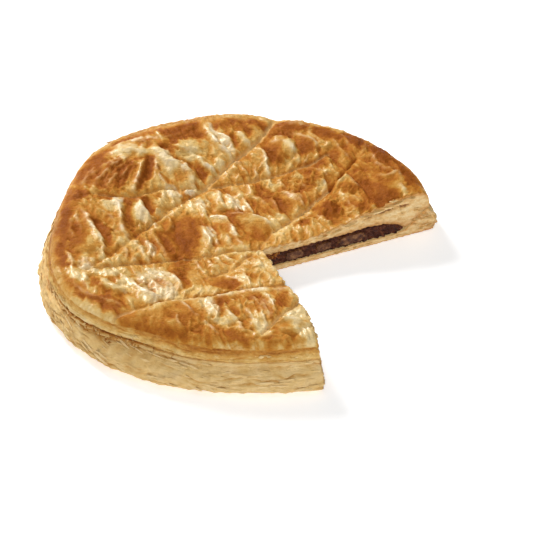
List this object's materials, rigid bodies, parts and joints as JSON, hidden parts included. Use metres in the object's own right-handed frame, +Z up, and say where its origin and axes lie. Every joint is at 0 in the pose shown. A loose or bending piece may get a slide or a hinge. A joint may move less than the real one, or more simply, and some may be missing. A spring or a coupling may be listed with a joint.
{
  "type": "pear chocolate galette des rois",
  "caption": "Round golden puff pastry pie with a scored, blistered lid and a wedge cut out, showing its chocolate and pear filling.",
  "frame": {"origin": "middle of the round, on the surface that it rests on", "axes": "+Z up, +Y away from the viewer, +X to the viewer's right; the missing wedge lies towards +X and -Y"},
  "size_m": [0.2574, 0.2635, 0.0355],
  "materials": {
    "base_pastry": "matt, pale gold, flaky layers",
    "lid_pastry": "egg-washed, golden brown, half gloss",
    "filling": "moist dark chocolate",
    "pear": "moist, stained brown by the chocolate"
  },
  "bodies": {
    "root": {"base_pastry": "base_pastry", "lid_pastry": "lid_pastry", "filling": "filling", "pear_piece_1": "pear", "pear_piece_2": "pear", "pear_piece_3": "pear", "pear_piece_4": "pear", "pear_piece_5": "pear", "pear_piece_6": "pear"}
  },
  "joints": []
}
